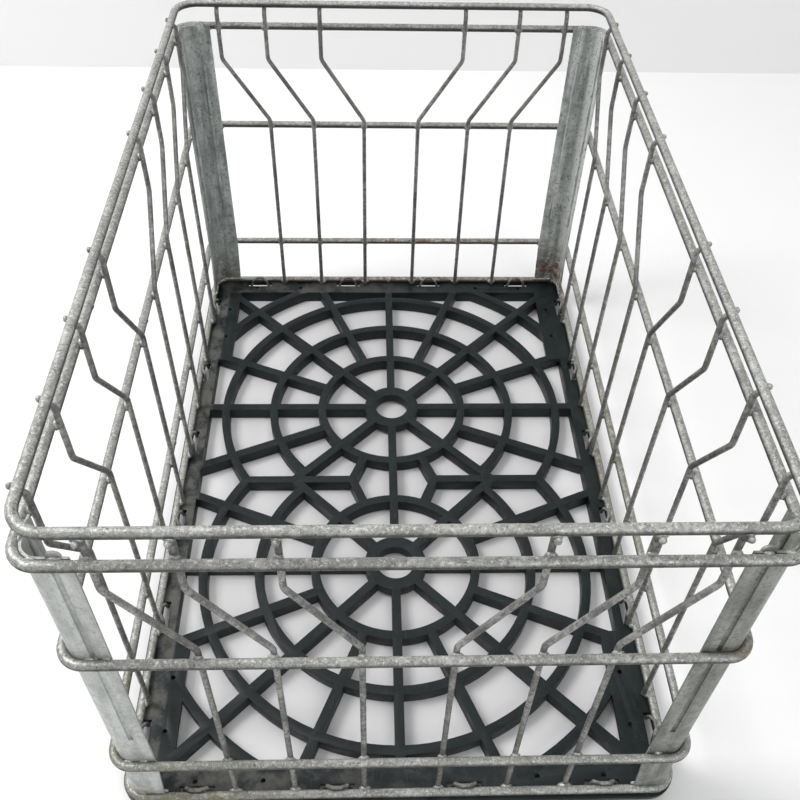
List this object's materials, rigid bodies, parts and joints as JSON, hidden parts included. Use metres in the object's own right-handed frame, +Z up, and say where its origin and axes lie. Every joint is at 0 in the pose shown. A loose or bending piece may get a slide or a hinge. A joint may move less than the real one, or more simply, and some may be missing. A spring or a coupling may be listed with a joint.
{
  "type": "milk bottle crate",
  "caption": "Welded round-wire milk bottle crate with sheet corner posts, hand gaps beside the jogged staves and a moulded openwork bottom insert held by wire clips",
  "frame": {"origin": "middle of the footprint, on the floor under the bottom insert", "axes": "+X across the width, +Y along the length, +Z up out of the open top"},
  "size_m": [0.331, 0.486, 0.2776],
  "materials": {
    "ring_wire": "weathered galvanized, spangled and dull",
    "stave_wire": "weathered galvanized, dull",
    "post_sheet": "weathered galvanized sheet, satin",
    "clip_wire": "weathered galvanized, dull",
    "insert_plastic": "black moulded plastic, scuffed"
  },
  "bodies": {
    "root": {"top_rim": "ring_wire", "upper_ring": "ring_wire", "middle_ring": "ring_wire", "lower_ring": "ring_wire", "base_ring": "ring_wire", "front_stave_1": "stave_wire", "front_stave_2": "stave_wire", "front_stave_3": "stave_wire", "front_stave_4": "stave_wire", "front_stave_5": "stave_wire", "front_stave_6": "stave_wire", "back_stave_1": "stave_wire", "back_stave_2": "stave_wire", "back_stave_3": "stave_wire", "back_stave_4": "stave_wire", "back_stave_5": "stave_wire", "back_stave_6": "stave_wire", "left_stave_1": "stave_wire", "left_stave_2": "stave_wire", "left_stave_3": "stave_wire", "left_stave_4": "stave_wire", "left_stave_5": "stave_wire", "left_stave_6": "stave_wire", "left_stave_7": "stave_wire", "left_stave_8": "stave_wire", "right_stave_1": "stave_wire", "right_stave_2": "stave_wire", "right_stave_3": "stave_wire", "right_stave_4": "stave_wire", "right_stave_5": "stave_wire", "right_stave_6": "stave_wire", "right_stave_7": "stave_wire", "right_stave_8": "stave_wire", "corner_post_front_left": "post_sheet", "corner_post_front_right": "post_sheet", "corner_post_back_left": "post_sheet", "corner_post_back_right": "post_sheet", "front_clips": "clip_wire", "back_clips": "clip_wire", "left_clips": "clip_wire", "right_clips": "clip_wire", "bottom_insert": "insert_plastic"}
  },
  "joints": []
}
